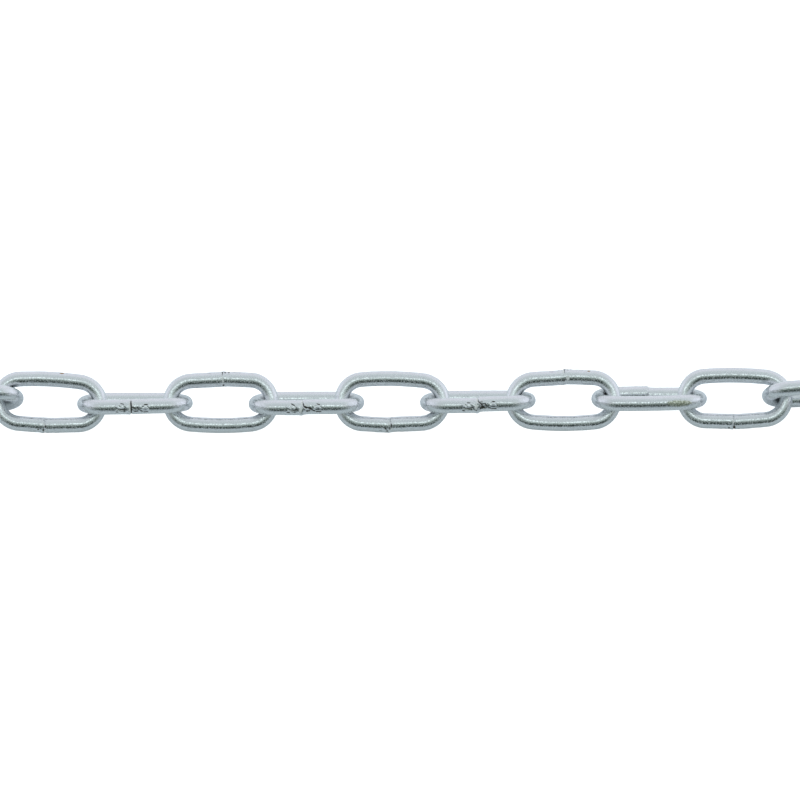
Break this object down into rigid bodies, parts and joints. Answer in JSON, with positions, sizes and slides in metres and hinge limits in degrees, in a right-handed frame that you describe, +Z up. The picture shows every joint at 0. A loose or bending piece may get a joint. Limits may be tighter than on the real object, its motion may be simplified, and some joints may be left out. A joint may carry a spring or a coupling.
{
  "type": "welded steel link chain",
  "caption": "Straight length of bright zinc-plated, side-welded steel link chain, lying on its links' legs; each link swings on the one before it.",
  "frame": {"origin": "on the floor, under the middle of the whole length", "axes": "+X along the chain, from the first link to the last; +Z up"},
  "size_m": [1.019, 0.024, 0.023],
  "materials": {
    "zinc_plated_steel": "bright zinc plate over drawn wire: pale blue-grey, satin, with a fine grain"
  },
  "bodies": {
    "link_01": {"link_01": "zinc_plated_steel"},
    "link_02": {"link_02": "zinc_plated_steel"},
    "link_03": {"link_03": "zinc_plated_steel"},
    "link_04": {"link_04": "zinc_plated_steel"},
    "link_05": {"link_05": "zinc_plated_steel"},
    "link_06": {"link_06": "zinc_plated_steel"},
    "link_07": {"link_07": "zinc_plated_steel"},
    "link_08": {"link_08": "zinc_plated_steel"},
    "link_09": {"link_09": "zinc_plated_steel"},
    "link_10": {"link_10": "zinc_plated_steel"},
    "link_11": {"link_11": "zinc_plated_steel"},
    "link_12": {"link_12": "zinc_plated_steel"},
    "link_13": {"link_13": "zinc_plated_steel"},
    "link_14": {"link_14": "zinc_plated_steel"},
    "link_15": {"link_15": "zinc_plated_steel"},
    "link_16": {"link_16": "zinc_plated_steel"},
    "link_17": {"link_17": "zinc_plated_steel"},
    "link_18": {"link_18": "zinc_plated_steel"},
    "link_19": {"link_19": "zinc_plated_steel"},
    "link_20": {"link_20": "zinc_plated_steel"},
    "link_21": {"link_21": "zinc_plated_steel"},
    "link_22": {"link_22": "zinc_plated_steel"},
    "link_23": {"link_23": "zinc_plated_steel"},
    "link_24": {"link_24": "zinc_plated_steel"},
    "link_25": {"link_25": "zinc_plated_steel"},
    "link_26": {"link_26": "zinc_plated_steel"},
    "link_27": {"link_27": "zinc_plated_steel"},
    "link_28": {"link_28": "zinc_plated_steel"},
    "link_29": {"link_29": "zinc_plated_steel"},
    "link_30": {"link_30": "zinc_plated_steel"}
  },
  "joints": [
    {"name": "swing_02", "type": "hinge", "parent": "link_01", "child": "link_02", "pos_m": [-0.4668, 0.00225, 0.00947], "axis": [0.0003, 0.6884, 0.7253], "range_deg": [-90, 90]},
    {"name": "swing_03", "type": "hinge", "parent": "link_02", "child": "link_03", "pos_m": [-0.43307, 0.0021, 0.0096], "axis": [-0.0188, -0.7215, 0.6922], "range_deg": [-90, 90]},
    {"name": "swing_04", "type": "hinge", "parent": "link_03", "child": "link_04", "pos_m": [-0.39935, 0.00204, 0.01045], "axis": [-0.0141, -0.8479, -0.5299], "range_deg": [-90, 90]},
    {"name": "swing_05", "type": "hinge", "parent": "link_04", "child": "link_05", "pos_m": [-0.36577, 0.00176, 0.01], "axis": [-0.0027, 0.6972, -0.7169], "range_deg": [-90, 90]},
    {"name": "swing_06", "type": "hinge", "parent": "link_05", "child": "link_06", "pos_m": [-0.33223, 0.00112, 0.00925], "axis": [0.0089, 0.7247, 0.689], "range_deg": [-90, 90]},
    {"name": "swing_07", "type": "hinge", "parent": "link_06", "child": "link_07", "pos_m": [-0.29854, 0.00041, 0.00957], "axis": [-0.0133, -0.6904, 0.7233], "range_deg": [-90, 90]},
    {"name": "swing_08", "type": "hinge", "parent": "link_07", "child": "link_08", "pos_m": [-0.2648, -0.00013, 0.00967], "axis": [-0.0125, -0.7133, -0.7007], "range_deg": [-90, 90]},
    {"name": "swing_09", "type": "hinge", "parent": "link_08", "child": "link_09", "pos_m": [-0.23107, -0.00052, 0.00947], "axis": [0.0269, 0.7138, -0.6998], "range_deg": [-90, 90]},
    {"name": "swing_10", "type": "hinge", "parent": "link_09", "child": "link_10", "pos_m": [-0.19744, -0.00086, 0.01042], "axis": [0.0107, 0.9135, 0.4067], "range_deg": [-90, 90]},
    {"name": "swing_11", "type": "hinge", "parent": "link_10", "child": "link_11", "pos_m": [-0.16482, -0.00126, 0.01045], "axis": [0.0126, -0.7073, 0.7068], "range_deg": [-90, 90]},
    {"name": "swing_12", "type": "hinge", "parent": "link_11", "child": "link_12", "pos_m": [-0.13179, -0.00185, 0.00928], "axis": [-0.0083, -0.7071, -0.7071], "range_deg": [-90, 90]},
    {"name": "swing_13", "type": "hinge", "parent": "link_12", "child": "link_13", "pos_m": [-0.09804, -0.0023, 0.00933], "axis": [0.0027, 0.7071, -0.7071], "range_deg": [-90, 90]},
    {"name": "swing_14", "type": "hinge", "parent": "link_13", "child": "link_14", "pos_m": [-0.06431, -0.00241, 0.00936], "axis": [-0.0031, 0.7071, 0.7071], "range_deg": [-90, 90]},
    {"name": "swing_15", "type": "hinge", "parent": "link_14", "child": "link_15", "pos_m": [-0.03057, -0.00246, 0.00955], "axis": [0.0015, -0.7071, 0.7071], "range_deg": [-90, 90]},
    {"name": "swing_16", "type": "hinge", "parent": "link_15", "child": "link_16", "pos_m": [0.00317, -0.0023, 0.00964], "axis": [0.0024, -0.7189, -0.6951], "range_deg": [-90, 90]},
    {"name": "swing_17", "type": "hinge", "parent": "link_16", "child": "link_17", "pos_m": [0.0369, -0.00194, 0.00939], "axis": [-0.0068, 0.7078, -0.7064], "range_deg": [-90, 90]},
    {"name": "swing_18", "type": "hinge", "parent": "link_17", "child": "link_18", "pos_m": [0.07064, -0.00156, 0.00944], "axis": [-0.0142, 0.6938, 0.72], "range_deg": [-90, 90]},
    {"name": "swing_19", "type": "hinge", "parent": "link_18", "child": "link_19", "pos_m": [0.10437, -0.00104, 0.0096], "axis": [-0.0066, -0.7255, 0.6882], "range_deg": [-90, 90]},
    {"name": "swing_20", "type": "hinge", "parent": "link_19", "child": "link_20", "pos_m": [0.13807, -0.00029, 0.01072], "axis": [0.0121, -0.9135, -0.4067], "range_deg": [-90, 90]},
    {"name": "swing_21", "type": "hinge", "parent": "link_20", "child": "link_21", "pos_m": [0.17097, 0.00033, 0.01028], "axis": [-0.0306, 0.7092, -0.7044], "range_deg": [-90, 90]},
    {"name": "swing_22", "type": "hinge", "parent": "link_21", "child": "link_22", "pos_m": [0.20384, 0.00069, 0.00922], "axis": [-0.0125, 0.7175, 0.6965], "range_deg": [-90, 90]},
    {"name": "swing_23", "type": "hinge", "parent": "link_22", "child": "link_23", "pos_m": [0.23756, 0.00102, 0.00949], "axis": [0.0059, -0.6888, 0.7249], "range_deg": [-90, 90]},
    {"name": "swing_24", "type": "hinge", "parent": "link_23", "child": "link_24", "pos_m": [0.27129, 0.00158, 0.00974], "axis": [0.0065, -0.723, -0.6909], "range_deg": [-90, 90]},
    {"name": "swing_25", "type": "hinge", "parent": "link_24", "child": "link_25", "pos_m": [0.30502, 0.00214, 0.00947], "axis": [0.005, 0.7015, -0.7126], "range_deg": [-90, 90]},
    {"name": "swing_26", "type": "hinge", "parent": "link_25", "child": "link_26", "pos_m": [0.3386, 0.00254, 0.01012], "axis": [-0.0084, 0.866, 0.5], "range_deg": [-90, 90]},
    {"name": "swing_27", "type": "hinge", "parent": "link_26", "child": "link_27", "pos_m": [0.372, 0.00263, 0.01053], "axis": [0.018, -0.7239, 0.6896], "range_deg": [-90, 90]},
    {"name": "swing_28", "type": "hinge", "parent": "link_27", "child": "link_28", "pos_m": [0.40558, 0.00233, 0.00933], "axis": [-0.0057, -0.6895, -0.7243], "range_deg": [-90, 90]},
    {"name": "swing_29", "type": "hinge", "parent": "link_28", "child": "link_29", "pos_m": [0.43931, 0.0021, 0.00929], "axis": [0.0062, 0.7157, -0.6984], "range_deg": [-90, 90]},
    {"name": "swing_30", "type": "hinge", "parent": "link_29", "child": "link_30", "pos_m": [0.47306, 0.00198, 0.00947], "axis": [0.0071, 0.7118, 0.7024], "range_deg": [-90, 90]}
  ]
}
